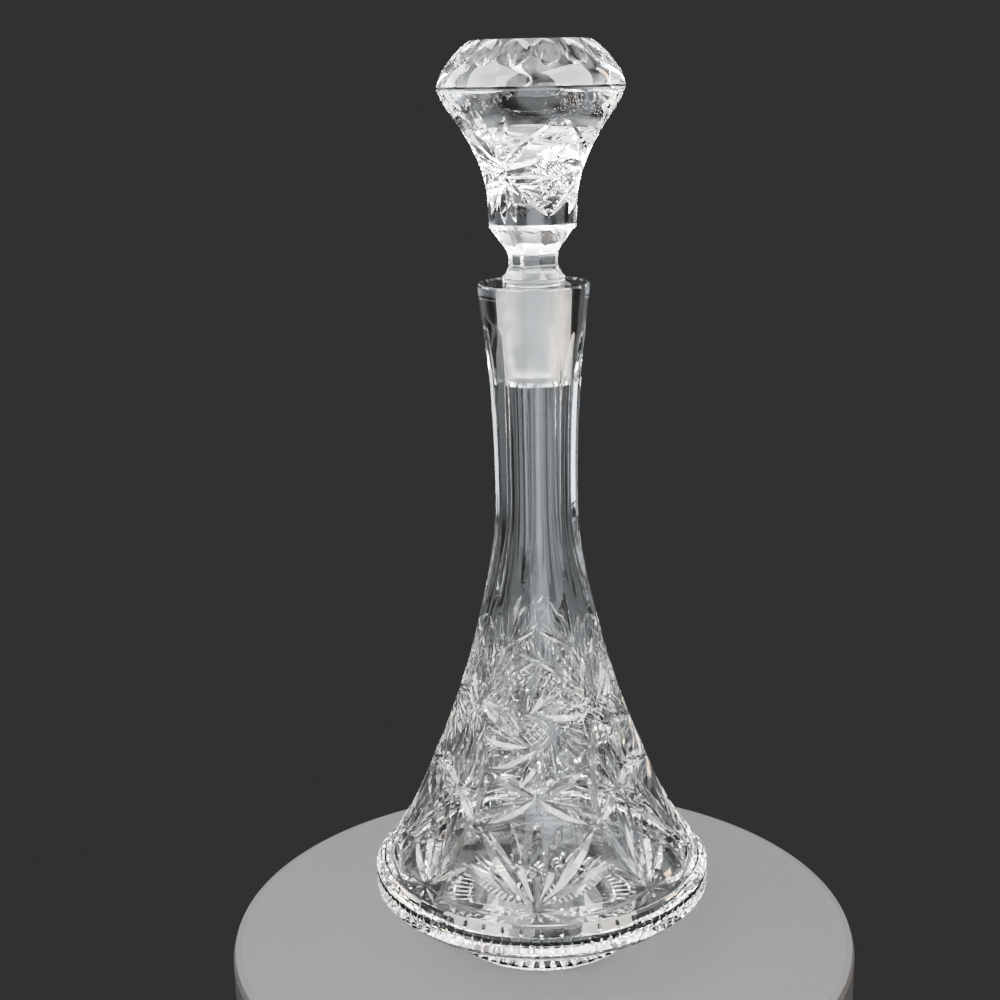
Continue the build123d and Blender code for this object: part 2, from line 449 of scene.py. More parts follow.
def turning_recipe() -> bpy.types.NodeTree:
    """Make the tree that turns an outline, with its flats, into one closed surface.

    Returns:
        The tree.
    """
    tree = Recipe("turned_glass", {"Columns": "Int", "Start": "Float", "Glass": "Material"})
    outline, columns = tree.given("Geometry"), tree.given("Columns")
    rows = tree.add("GeometryNodeAttributeDomainSize", {0: outline}, component="MESH").outputs["Point Count"]
    grid = tree.add("GeometryNodeMeshGrid", {"Vertices X": tree.math("ADD", columns, 1), "Vertices Y": rows})
    index = tree.add("GeometryNodeInputIndex").outputs[0]
    column = tree.math("FLOOR", tree.math("DIVIDE", index, rows))
    row = tree.math("SUBTRACT", index, tree.math("MULTIPLY", column, rows))

    def sampled(value: bpy.types.NodeSocket, kind: str = "FLOAT") -> bpy.types.NodeSocket:
        """A value of the outline at this row."""
        return tree.add("GeometryNodeSampleIndex", {"Geometry": outline, "Value": value, "Index": row},
                        data_type=kind, domain="POINT").outputs[0]

    position = tree.add("GeometryNodeInputPosition").outputs[0]
    place = tree.add("ShaderNodeSeparateXYZ", {0: sampled(position, "FLOAT_VECTOR")}).outputs
    flat, sides, turn = (sampled(tree.stored(key)) for key in ("flat", "sides", "turn"))
    step = tree.math("DIVIDE", math.tau, columns)
    angle = tree.math("ADD", tree.given("Start"), tree.math("MULTIPLY", column, step))
    half = tree.math("DIVIDE", math.pi, sides)
    off = tree.math("WRAP", tree.math("SUBTRACT", angle, turn), half, tree.math("MULTIPLY", half, -1.0))
    radius = tree.math("MINIMUM", place[0], tree.math("DIVIDE", flat, tree.math("COSINE", off)))
    back = tree.math("MULTIPLY", radius, -1.0)
    across = tree.math("MULTIPLY", radius, tree.math("SINE", angle))
    along = tree.math("MULTIPLY", back, tree.math("COSINE", angle))
    where = tree.add("ShaderNodeCombineXYZ", {0: across, 1: along, 2: place[2]})
    moved = tree.add("GeometryNodeSetPosition", {"Geometry": grid.outputs[0], "Position": where.outputs[0]})
    merged = tree.add("GeometryNodeMergeByDistance", {"Geometry": moved.outputs[0], "Distance": 1e-6})
    return tree.finish(merged.outputs[0], "Glass")


def wheel_recipe() -> bpy.types.NodeTree:
    """Make the tree that sweeps a wheel's edge along marked lines and repeats them round the axis.

    Returns:
        The tree.
    """
    tree = Recipe("wheel_cuts", {"Edge": "Object", "Repeats": "Int", "Cut glass": "Material"})
    lines = tree.add("GeometryNodeMeshToCurve", {"Mesh": tree.given("Geometry")})
    outward = tree.stored("face", "FLOAT_VECTOR")
    faced = tree.add("GeometryNodeSetCurveNormal", {"Curve": lines.outputs[0], "Normal": outward}, mode="FREE")
    edge = tree.add("GeometryNodeObjectInfo", {"Object": tree.given("Edge")})
    section = tree.add("GeometryNodeMeshToCurve", {"Mesh": edge.outputs["Geometry"]})
    swept = tree.add("GeometryNodeCurveToMesh", {
        "Curve": faced.outputs[0], "Profile Curve": section.outputs[0], "Scale": tree.stored("reach"),
        "Fill Caps": True})
    return tree.finish(tree.ring(swept.outputs[0]), "Cut glass")


def ball_recipe() -> bpy.types.NodeTree:
    """Repeats the round wheel's ball round the axis."""
    tree = Recipe("round_wheel", {"Repeats": "Int", "Cut glass": "Material"})
    return tree.finish(tree.ring(tree.given("Geometry")), "Cut glass")


def grinding_recipe() -> bpy.types.NodeTree:
    """Make the tree that takes cuts out of a blank and frosts what lies inside the ground band.

    Returns:
        The tree.
    """
    tree = Recipe("ground_glass", {"Cuts": "Object", "Frost": "Material", "Frost low": "Float",
                                   "Frost high": "Float", "Frost radius": "Float"})
    cuts = tree.add("GeometryNodeObjectInfo", {"Object": tree.given("Cuts")})
    island = tree.add("GeometryNodeInputMeshIsland")
    apart = tree.add("GeometryNodeSplitToInstances", {
        "Geometry": cuts.outputs["Geometry"], "Group ID": island.outputs[0]}, domain="POINT")
    ground = tree.add("GeometryNodeMeshBoolean", {
        "Mesh 1": tree.given("Geometry"), "Mesh 2": apart.outputs[0]}, operation="DIFFERENCE", solver="MANIFOLD")
    x, y, z = tree.place()
    across = tree.math("SQRT", tree.math("ADD", tree.math("MULTIPLY", x, x), tree.math("MULTIPLY", y, y)))
    inside = tree.math("LESS_THAN", across, tree.given("Frost radius"))
    level = tree.math("MULTIPLY", tree.math("GREATER_THAN", z, tree.given("Frost low")),
                      tree.math("LESS_THAN", z, tree.given("Frost high")))
    return tree.finish(ground.outputs[0], "Frost", tree.math("MULTIPLY", inside, level))


def run_tree(obj: bpy.types.Object, tree: bpy.types.NodeTree, values: dict[str, object]) -> bpy.types.Object:
    """Run a tree on an object and keep the result as a plain mesh.

    Args:
        obj: object that the tree works on; it is replaced by the result.
        tree: the Geometry Nodes tree.
        values: the tree's inputs by name.

    Returns:
        A new object of the same name with a plain mesh.
    """
    modifier = obj.modifiers.new(tree.name, "NODES")
    modifier.node_group = tree
    for item in tree.interface.items_tree:
        if item.in_out == "INPUT" and item.name in values:
            modifier[item.identifier] = values[item.name]
    obj.update_tag()
    bpy.context.view_layer.update()
    mesh = bpy.data.meshes.new_from_object(obj.evaluated_get(bpy.context.evaluated_depsgraph_get()))
    name, old = obj.name, obj.data
    obj.modifiers.clear()
    bpy.data.objects.remove(obj)
    if old.users == 0:
        bpy.data.meshes.remove(old)
    mesh.name = name
    drop_empty_slots(mesh)
    return linked(name, mesh)


def drop_empty_slots(mesh: bpy.types.Mesh) -> None:
    """Leave only the material slots that hold a finish, with each face on its own.

    Args:
        mesh: the mesh.
    """
    used = [m for m in mesh.materials if m]
    kept = list(dict.fromkeys(used))
    index = np.zeros(len(mesh.polygons), np.int32)
    mesh.polygons.foreach_get("material_index", index)
    lookup = np.array([kept.index(m) if m else 0 for m in mesh.materials] or [0], np.int32)
    mesh.materials.clear()
    for material in kept:
        mesh.materials.append(material)
    mesh.polygons.foreach_set("material_index", lookup[np.clip(index, 0, len(lookup) - 1)])


def join(objects: list[bpy.types.Object]) -> bpy.types.Object:
    """Join meshes.

    Args:
        objects: the objects, of which the first one is kept.

    Returns:
        The first object, which now holds them all.
    """
    if len(objects) > 1:
        with bpy.context.temp_override(active_object=objects[0], object=objects[0],
                                       selected_editable_objects=objects, selected_objects=objects):
            bpy.ops.object.join()
    return objects[0]


# --------------------------------------------------------------------------- cutting
class Wheel(Enum):
    """Edges of the grinding wheels, as the half angle of a bevel, or 0 for a rounded edge."""

    MITRE = 60.0
    FINE = 54.0
    BROAD = 66.0
    ROUND = 0.0

    def edge(self) -> bpy.types.Object:
        """Draw the section of the wheel's edge, one unit deep.

        Returns:
            A closed line.
        """
        if self is Wheel.ROUND:
            rim = [(1.5 * math.sin(a), -math.cos(a)) for a in np.radians(np.linspace(-90, 90, 9))]
        else:
            half = math.tan(math.radians(self.value))
            rim = [(-half, 0.0), (0.0, -1.0), (half, 0.0)]
        verts = [(y, -x, 0.0) for x, y in rim]
        return line_object("edge", verts, [(i, (i + 1) % len(verts)) for i in range(len(verts))])


@dataclass(frozen=True)
class Cut:
    """One cut of a wheel on a turned surface.

    Attributes:
        path: (angle, height) points that it passes through.
        depth: depth at its deepest.
        wheel: the wheel's edge.
        blunt: 0 for a leaf with two fine tips, up to 1 for nearly even depth.
        middle: share of its length where it is deepest.
    """

    path: tuple[Point, ...]
    depth: float
    wheel: Wheel = Wheel.MITRE
    blunt: float = 0.0
    middle: float = 0.5

    def mirrored(self, centre: float) -> "Cut":
        """The same cut on the other side of an angle."""
        return replace(self, path=tuple((2 * centre - a, z) for a, z in self.path))


@dataclass
class Surface:
    """The outside of a turned shape.

    Attributes:
        outside: its (radius, height) points from below.
    """

    outside: list[Point]

    def __post_init__(self) -> None:
        """Keep the outside as arrays that rise in height."""
        side = sorted((z, r) for r, z in self.outside)
        self.heights = np.array([z for z, _ in side])
        self.radii = np.array([r for _, r in side])

    def radius(self, z: float) -> float:
        """Radius at a height."""
        return float(np.interp(z, self.heights, self.radii))

    def point(self, angle: float, z: float) -> Vector:
        """Point at an angle and a height."""
        r, turn = self.radius(z), math.radians(angle)
        return Vector((r * math.sin(turn), -r * math.cos(turn), z))

    def outward(self, angle: float, z: float) -> Vector:
        """Outward direction at a place.

        Args:
            angle: its angle.
            z: its height.

        Returns:
            A direction of length 1.
        """
        slope = (self.radius(z + 1.5) - self.radius(z - 1.5)) / 3
        turn = math.radians(angle)
        return Vector((math.sin(turn), -math.cos(turn), -slope)).normalized()

    def beside(self, start: Point, across: float, up: float) -> Point:
        """The (angle, height) that lies so many millimetres across and up from another."""
        z = start[1] + up
        return start[0] + math.degrees(across / self.radius((start[1] + z) / 2)), z


@dataclass
class Panel:
    """The cuts of one panel of a pattern, drawn about its middle line.

    Attributes:
        surface: what it is cut on.
        centre: angle of its middle line.
        cuts: the cuts drawn so far.
    """

    surface: Surface
    centre: float
    cuts: list[Cut] = field(default_factory=list)

    def cut(self, path: list[Point], depth: float, both: bool = False, **how: object) -> None:
        """Draw a cut.

        Args:
            path: points it passes through, with angles from the middle line.
            depth: depth at its deepest.
            both: draw its mirror image too.
            how: the other attributes of a cut.
        """
        made = Cut(tuple((self.centre + a, z) for a, z in path), depth, **how)
        self.cuts += [made, made.mirrored(self.centre)] if both else [made]

    def fan(self, root: Point, tips: list[Point], depth: float, gap: float = 0.05, **how: object) -> None:
        """Draw leaves from one root to several tips.

        Args:
            root: where they meet.
            tips: their tips.
            depth: their depth.
            gap: share of a leaf's length that stays clear at the root.
            how: the other attributes of a cut.
        """
        for tip in tips:
            start = (root[0] + (tip[0] - root[0]) * gap, root[1] + (tip[1] - root[1]) * gap)
            self.cut([start, tip], depth, **how)

    def ladder(self, path: list[Point], rungs: int, length: float, depth: float, both: bool = False) -> None:
        """Draw short level-spaced rungs across a line.

        Args:
            path: points of the line, with angles from the middle line.
            rungs: how many rungs.
            length: length of a rung.
            depth: depth of a rung.
            both: draw the mirror image too.
        """
        line = run(path, rungs * 2 + 1)
        for i in range(1, rungs * 2, 2):
            radius = self.surface.radius(line[i][1])
            (a0, z0), (a1, z1) = line[i - 1], line[i + 1]
            along = Vector((math.radians(a1 - a0) * radius, z1 - z0))
            side = Vector((-along.y, along.x)).normalized() * length / 2
            ends = [self.surface.beside(line[i], side.x * s, side.y * s) for s in (-1, 1)]
            self.cut(ends, depth, both, wheel=Wheel.FINE, blunt=0.5)

    def pinwheel(self, hub: Point, blades: int, inner: float, outer: float, sweep: float, depth: float,
                 turn: float = 90.0, fine: int = 2) -> None:
        """Draw blades that leave a small hub at a slant, with fine rays between them.

        Args:
            hub: its middle, with its angle from the middle line.
            blades: how many blades.
            inner: distance of a blade's root from the hub.
            outer: distance of its tip.
            sweep: angle between its root and its tip, clockwise.
            depth: depth of a blade.
            turn: direction of the first root.
            fine: number of fine rays between two blades.
        """
        def at(direction: float, distance: float) -> Point:
            """The point at a direction and a distance from the hub."""
            a = math.radians(direction)
            return self.surface.beside(hub, distance * math.cos(a), distance * math.sin(a))

        for k in range(blades):
            root = turn + 360 / blades * k
            self.cut([at(root, inner), at(root - sweep, outer)], depth)
            for j in range(1, fine + 1):
                share = j / (fine + 1)
                tip = root - sweep + 360 / blades * share
                ends = [at(root + 6 * share, inner * 1.05), at(tip, outer * (1 - 0.1 * share))]
                self.cut(ends, depth * 0.32, wheel=Wheel.FINE, middle=0.6)
        for across in (45.0, -45.0):
            for i in range(-2, 3):
                offset = inner * 0.36 * i
                reach = math.sqrt(max(0.1, (inner * 0.95) ** 2 - offset ** 2))
                ends = [at(across + math.degrees(math.atan2(offset, side * reach)), math.hypot(offset, reach))
                        for side in (-1, 1)]
                self.cut(ends, depth * 0.3, wheel=Wheel.FINE, blunt=0.5)


@dataclass
class Bench:
    """Where a blank is ground.

    Attributes:
        surface: the surface that is cut.
        glass: finish of the ground faces.
        tree: the tree that sweeps the wheels.
        lift: how far a wheel reaches above the surface.
        pitch: length of one step along a cut.
    """

    surface: Surface
    glass: bpy.types.Material
    tree: bpy.types.NodeTree
    lift: float = 0.2
    pitch: float = 3.4

    def marked(self, cut: Cut) -> tuple[list[Vector], list[Vector], list[float]]:
        """The middle line of a cut.

        Args:
            cut: the cut.

        Returns:
            Points above the surface, outward directions, and how far the wheel reaches down.
        """
        path = list(cut.path)
        ends = [self.surface.point(*path[0]), self.surface.point(*path[-1])]
        steps = max(4, min(22, 2 * round((ends[0] - ends[1]).length / self.pitch / 2)))
        spots = run(path, steps + 1)
        points, faces, reach = [], [], []
        for i, (angle, z) in enumerate(spots):
            skew = (i / steps) ** (math.log(0.5) / math.log(cut.middle))
            leaf = (4 * skew * (1 - skew)) ** (1 - 0.75 * cut.blunt)
            out = self.surface.outward(angle, z)
            points.append((self.surface.point(angle, z) + out * self.lift) * MM)
            faces.append(out)
            reach.append(max(0.01, (cut.depth + self.lift) * leaf) * MM)
        return points, faces, reach

    def cutters(self, name: str, cuts: list[Cut], repeats: int) -> list[bpy.types.Object]:
        """Solid cutters for the cuts of one sector, one object for each wheel.

        Args:
            name: start of the objects' names.
            cuts: the cuts.
            repeats: how many sectors there are round the axis.

        Returns:
            The cutters.
        """
        made = []
        for wheel in Wheel:
            verts, edges, faces, reach = [], [], [], []
            for cut in (c for c in cuts if c.wheel is wheel):
                points, outs, sizes = self.marked(cut)
                edges += [(len(verts) + i, len(verts) + i + 1) for i in range(len(points) - 1)]
                verts += points
                faces += outs
                reach += sizes
            if not verts:
                continue
            obj = line_object(f"{name}_{wheel.name.lower()}", verts, edges)
            store(obj, "face", np.array(faces))
            store(obj, "reach", np.array(reach))
            edge = wheel.edge()
            values = {"Edge": edge, "Repeats": repeats, "Cut glass": self.glass}
            made.append(run_tree(obj, self.tree, values))
            bpy.data.objects.remove(edge)
        return made


# --------------------------------------------------------------------------- finishes
@dataclass(frozen=True)
class Finish:
    """A finish of the glass.

    Attributes:
        name: name of the material.
        tints: two colours that it varies between.
        roughness: lowest and highest roughness.
        patch: size of the patches in which the roughness varies.
        grain: size of the finest marks.
        relief: height of those marks.
        swell: height of the long soft waves left by the polishing.
        wave: length of those waves.
        refraction: index of refraction.
    """

    name: str
    tints: tuple[Colour, Colour]
    roughness: tuple[float, float]
    patch: float
    grain: float
    relief: float
    swell: float = 0.0
    wave: float = 14.0
    refraction: float = 1.545

    def material(self) -> bpy.types.Material:
        """Make the material.

        Returns:
            The material.
        """
        made = bpy.data.materials.new(self.name)
        tree = Nodes.of(made)
        place = tree.add("ShaderNodeTexCoord").outputs["Object"]
        patches, marks, waves = (
            tree.add("ShaderNodeTexNoise", {"Vector": place, "Scale": 1 / (size * MM), "Detail": detail}).outputs[0]
            for size, detail in ((self.patch, 3.0), (self.grain, 2.0), (self.wave, 1.0)))
        rough = tree.add("ShaderNodeMapRange", {"Value": patches, "From Min": 0.3, "From Max": 0.7,
                                                "To Min": self.roughness[0], "To Max": self.roughness[1]})
        relief = {"Height": marks, "Strength": 1.0, "Distance": self.relief * MM}
        normal = tree.add("ShaderNodeBump", relief).outputs[0]
        if self.swell:
            swell = {"Height": waves, "Strength": 1.0, "Distance": self.swell * MM, "Normal": normal}
            normal = tree.add("ShaderNodeBump", swell).outputs[0]
        glass = tree.add("ShaderNodeBsdfPrincipled", {
            "Base Color": tree.blend(patches, *self.tints), "Roughness": rough.outputs[0], "Normal": normal,
            "IOR": self.refraction, "Transmission Weight": 1.0})
        clear = tree.add("ShaderNodeBsdfTransparent", {"Color": (0.9, 0.92, 0.92, 1)})
        tree.split("Is Shadow Ray", glass.outputs[0], clear.outputs[0], "ShaderNodeOutputMaterial")
        return made


POLISHED = Finish("polished_crystal", ((0.985, 0.99, 0.99), (0.97, 0.985, 0.985)), (0.0, 0.02), 22, 3.0, 0.0012,
                  0.02)
CUT = Finish("wheel_cut_crystal", ((1.0, 1.0, 1.0), (0.985, 0.99, 0.99)), (0.03, 0.1), 6, 0.7, 0.0025)
FROSTED = Finish("ground_frosted_glass", ((0.6, 0.61, 0.62), (0.52, 0.54, 0.56)), (0.38, 0.52), 5, 0.35, 0.012)
# Greys between which the floor varies, first to all rays but the camera's, then to the camera's.
FLOOR_SHADES = ((0.007, 0.008), (0.08, 0.086))


def floor_material() -> bpy.types.Material:
    """Make a matt dark grey floor, which the lamps make pale and which is darker where glass sees it.

    Returns:
        The material.
    """
    made = bpy.data.materials.new("plain_floor")
    tree = Nodes.of(made)
    place = tree.add("ShaderNodeTexCoord").outputs["Object"]
    cloud = tree.add("ShaderNodeTexNoise", {"Vector": place, "Scale": 9.0, "Detail": 4.0}).outputs[0]
    shaders = []
    for low, high in FLOOR_SHADES:
        tint = tree.blend(cloud, (low, low, low * 1.02), (high, high, high * 1.02))
        shaders.append(tree.add("ShaderNodeBsdfDiffuse", {"Color": tint}).outputs[0])
    tree.split("Is Camera Ray", *shaders, "ShaderNodeOutputMaterial")
    return made


# --------------------------------------------------------------------------- pieces
@dataclass
class Piece:
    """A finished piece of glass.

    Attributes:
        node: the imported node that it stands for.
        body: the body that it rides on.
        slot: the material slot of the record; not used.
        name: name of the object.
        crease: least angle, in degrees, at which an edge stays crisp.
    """

    node: str
    body: str
    slot: str
    name: str
    crease: float

    def hand_over(self, obj: bpy.types.Object) -> None:
        """Smooth the mesh, keep its ground edges crisp, and tie it to its body.

        Args:
            obj: the finished mesh.
        """
        mesh = obj.data
        mesh.polygons.foreach_set("use_smooth", np.ones(len(mesh.polygons), bool))
        mesh.set_sharp_from_angle(angle=math.radians(self.crease))
        obj.name = mesh.name = self.name
        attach(obj, self.body)
        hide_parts(self.node)
        check = bmesh.new()
        check.from_mesh(mesh)
        loose = sum(len(e.link_faces) != 2 for e in check.edges)
        triangles = sum(len(f.verts) - 2 for f in check.faces)
        volume = check.calc_volume() * 1e6
        LOG.info("%s: %d triangles, %d open edges, %.1f cm3", self.name, triangles, loose, volume)
        check.free()


@dataclass
class Workshop:
    """The trees and finishes that the pieces share.

    Attributes:
        turning: turns outlines.
        wheels: sweeps the bevelled wheels.
        balls: repeats the round wheel.
        grinding: takes cuts out of a blank.
        polished: finish of the plain surfaces.
        cut: finish of the cuts.
        frosted: finish of the ground seat and peg.
    """

    turning: bpy.types.NodeTree = field(default_factory=turning_recipe)
    wheels: bpy.types.NodeTree = field(default_factory=wheel_recipe)
    balls: bpy.types.NodeTree = field(default_factory=ball_recipe)
    grinding: bpy.types.NodeTree = field(default_factory=grinding_recipe)
    polished: bpy.types.Material = field(default_factory=POLISHED.material)
    cut: bpy.types.Material = field(default_factory=CUT.material)
    frosted: bpy.types.Material = field(default_factory=FROSTED.material)

    def grind(self, blank: bpy.types.Object, cutters: list[bpy.types.Object],
              frost: tuple[float, float, float]) -> bpy.types.Object:
        """Grind a blank.

        Args:
            blank: the turned blank.
            cutters: everything that is taken out of it.
            frost: lowest height, highest height and largest radius of the frosted band.

        Returns:
            The ground piece.
        """
        cuts = join(cutters)
        low, high, radius = (v * MM for v in frost)
        values = {"Cuts": cuts, "Frost": self.frosted, "Frost low": low, "Frost high": high, "Frost radius": radius}
        ground = run_tree(blank, self.grinding, values)
        bpy.data.objects.remove(cuts)
        return ground


@dataclass
class Bottle(Piece):
    """The bottle: foot, cut bowl, panelled neck, lip and ground mouth.

    Attributes:
        lip_z: top of the neck.
        rim_r: widest part of the bowl.
        lip_r: radius of the lip.
        neck: radius and height of the narrowest part of the neck.
        shoulder: radius and height where the cut cone begins.
        rim_z: lower edge of the rim band.
        bore_r: radius of the bore under the seat.
        wall: thickness of the wall at the bottom of the bowl.
        pattern_turn: angle of the first wide panel.
        foot_flats: flats round the foot.
        rim_flats: flats round the rim.
        flat_start: angle of the edge between the first flats, and of the first column.
        neck_flats: panels of the neck.
        neck_turn: angle of the first panel.
        neck_low: height where the panels run out at the bowl.
        neck_below_lip: how far under the lip they run out.
        neck_depth: their depth.
        seat_low: lower end of the frosted seat.
        burst_z: root of the bursts.
        cone_shape: shares of height and of radius that shape the bowl.
        neck_shape: the same for the neck.
    """

    lip_z: float = 300.7
    rim_r: float = 76.95
    lip_r: float = 24.0
    neck: Point = (18.35, 212.0)
    shoulder: Point = (73.0, 38.5)
    rim_z: float = 26.5
    bore_r: float = 9.9
    wall: float = 6.5
    pattern_turn: float = -2.0
    foot_flats: int = 28
    rim_flats: int = 56
    flat_start: float = -10.0
    neck_flats: int = 8
    neck_turn: float = 12.5
    neck_low: float = 157.0
    neck_below_lip: float = 15.7
    neck_depth: float = 1.45
    seat_low: float = 259.0
    burst_z: float = 44.5
    cone_shape: tuple[Point, ...] = ((0.10, 0.79), (0.24, 0.587), (0.378, 0.41), (0.516, 0.262), (0.654, 0.146),
                                     (0.793, 0.054), (0.902, 0.008))
    neck_shape: tuple[Point, ...] = ((0.36, 0.867), (0.65, 0.558))

    def outline(self) -> list[Point]:
        """Draw the outline, from the hollow under the foot over the lip to the floor of the bowl.

        Returns:
            (radius, height) points.
        """
        cone = between(self.shoulder, self.neck, list(self.cone_shape))
        neck = between(self.neck, (self.lip_r, self.lip_z), list(self.neck_shape))
        foot = [(0, 2), (35, 2), (37, 0), (43.8, 0), (46, 2.2), (46, 7), (43, 9.5)]
        under = smooth_run([(43, 9.5), (64, 16.5), (self.rim_r - 1.15, self.rim_z - 1)], 9)[1:]
        rim = [(self.rim_r, self.rim_z), (self.rim_r, self.rim_z + 4), (self.rim_r - 0.15, self.rim_z + 8),
               (73.9, 37.4), (72.7, 38.3), (72.9, 39.0)]
        side = smooth_run([(72.9, 39.0), *cone, self.neck, *neck, (self.lip_r, self.lip_z - 0.9)], 112)[1:]
        lip = [(self.lip_r - 0.27, self.lip_z - 0.27), (self.lip_r - 0.9, self.lip_z)]
        seat = [(SEAT_HIGH_R + SEAT_LEAD, self.lip_z), (SEAT_HIGH_R, self.lip_z - SEAT_LEAD),
                (SEAT_LOW_R, SEAT_LOW_Z), (self.bore_r, SEAT_LOW_Z - 2), (self.bore_r, self.neck[1])]
        thin = self.neck[0] - self.bore_r - self.wall
        inside = [(r - self.wall - thin * share, z) for (r, z), (share, _) in zip(cone, self.cone_shape)]
        widest = self.rim_r - 9.5
        hollow = smooth_run([(self.bore_r, self.neck[1]), *reversed(inside), (widest, 34.0)], 34)[1:]
        floor = smooth_run([(widest, 34.0), (widest - 2.3, 27.0), (widest - 9, 23.4), (widest / 2, 18.6),
                            (0, 17.0)], 61)
        floor = floor[1:20] + floor[20::5]
        return foot + under + rim + side + lip + seat + hollow + floor

    def wide_panel(self, surface: Surface) -> list[Cut]:
        """Draw a wide panel: burst, star, pinwheel and two ogee arches.

        Args:
            surface: the outside of the bottle.

        Returns:
            The cuts.
        """
        panel = Panel(surface, self.pattern_turn)
        leaves = [(0, 78), (12.5, 76), (-12.5, 76), (27, 71), (-27, 71), (33, 57), (-33, 57)]
        panel.fan((0, self.burst_z), leaves, 1.75)
        panel.fan((0, 43.5), [(10, 39.4), (-10, 39.4), (-2.5, 39.2), (2.5, 39.2)], 0.55)
        panel.cut([(1, self.burst_z), (22, 42.4), (44, 44)], 1.2, both=True)
        panel.cut([(1, 43.2), (30, 40.4)], 0.55, both=True)
        for tip in ((6.3, 70), (19, 66), (30, 62)):
            root = (tip[0] * 0.42, self.burst_z + (tip[1] - self.burst_z) * 0.42)
            panel.cut([root, tip], 0.45, both=True, wheel=Wheel.FINE)
        # Four-armed star with fine rays at its sides.
        panel.cut([(0, 85.5), (27, 94)], 1.3, both=True)
        panel.cut([(0, 85.5), (24.5, 73.5)], 1.35, both=True)
        for z in (90.5, 87, 83.5, 80):
            panel.cut([(1.5, 85.5), (25, z)], 0.5, both=True, wheel=Wheel.FINE)
        for tip in ((0, 93), (6, 93), (12, 93), (18, 93)):
            panel.cut([(tip[0] * 0.1, 86.5), tip], 0.45, both=tip[0] > 0, wheel=Wheel.FINE)
        for tip in ((8, 137), (16, 134), (24, 130), (31, 124), (36, 117)):
            root = (tip[0] * 0.55, 112 + (tip[1] - 112) * 0.55)
            panel.cut([root, tip], 0.5, both=True, wheel=Wheel.FINE)
        panel.cut([(0, 84), (0, 78)], 0.4, wheel=Wheel.FINE)
        panel.pinwheel((0, 112), 12, 7.0, 25.5, 56.0, 1.45, turn=97.0)
        panel.cut([(0, 141.5), (0, 156)], 0.8)
        # Ogee arches with ladders along them and hatching between.
        arch = [(0.5, 140.5), (12, 137.6), (22, 132.5), (34, 125.5), (44, 119.5)]
        upper = [(0.5, 154), (20, 149), (37, 141.5), (44, 134), (49, 125)]
        panel.cut(arch, 0.8, both=True, blunt=0.7)
        panel.cut(upper, 0.7, both=True, blunt=0.7)
        panel.ladder([(a, z - 2.6) for a, z in arch], 12, 3.8, 0.65, both=True)
        panel.cut([(a, z - 5.2) for a, z in arch], 0.7, both=True, blunt=0.7)
        for angle in range(5, 46, 4):
            low, high = 142 - angle * 0.47, 154 - angle * 0.42 + (3.0 if angle % 8 == 1 else 0.5)
            panel.cut([(angle, low), (angle + 2.5, high)], 0.5, both=True, wheel=Wheel.FINE)
        # Crescents down the sides, and the ladder-edged arc under them.
        crescent = [(44, 119), (35.5, 103), (30.3, 86), (31.2, 71.5)]
        panel.cut(crescent, 1.6, both=True, blunt=0.15)
        panel.ladder([(a + 3.6, z) for a, z in crescent], 13, 3.4, 0.6, both=True)
        arc = [(31.5, 78), (35.5, 66), (41, 54), (45, 45.5)]
        panel.cut(arc, 0.6, both=True, blunt=0.6)
        panel.ladder([(a - 2.2, z) for a, z in arc], 11, 4.2, 0.7, both=True)
        return panel.cuts

    def narrow_panel(self, surface: Surface) -> list[Cut]:
        """Draw a narrow panel: burst, star, leaves that meet, and the fan above them.

        Args:
            surface: the outside of the bottle.

        Returns:
            The cuts.
        """
        panel = Panel(surface, self.pattern_turn + 45)
        for start, tip, depth in ((0.2, (3.8, 80), 1.4), (0.6, (14, 72), 1.5), (0.6, (18.5, 57), 1.2)):
            panel.cut([(start, self.burst_z), tip], depth, both=True)
        panel.cut([(0.4, 43.8), (8, 39.4)], 0.5, both=True)
        panel.cut([(0, 43), (0, 39.3)], 0.5)
        panel.cut([(0.3, 84), (13, 92)], 1.2, both=True)
        panel.cut([(0.3, 84), (15, 72.5)], 1.3, both=True)
        panel.cut([(0, 85), (0, 103)], 1.1)
        for z in (89, 85.5, 82, 78):
            panel.cut([(0.8, 84), (14, z)], 0.45, both=True, wheel=Wheel.FINE)
        panel.cut([(12, 95), (1, 118)], 1.3, both=True)
        panel.cut([(0, 97), (0, 118)], 1.2)
        panel.cut([(6.5, 99), (0.8, 116)], 0.45, both=True, wheel=Wheel.FINE)
        for angle in range(-52, 53, 13):
            lean = math.radians(angle)
            tip = surface.beside((0, 122), 26 * math.sin(lean), 26 * math.cos(lean) + 6)
            root = surface.beside((0, 122), 3 * math.sin(lean), 3 * math.cos(lean))
            panel.cut([root, tip], 0.9 if (angle // 13) % 2 == 0 else 0.55, middle=0.55)
        for angle in range(-24, 25, 6):
            ends = [(angle, 146 - abs(angle) * 0.25), (angle * 1.04, 158 - abs(angle) * 0.3)]
            panel.cut(ends, 0.45, wheel=Wheel.FINE)
        panel.fan((0, 121), [(24, 121), (-24, 121), (20, 113), (-20, 113)], 0.7)
        return panel.cuts

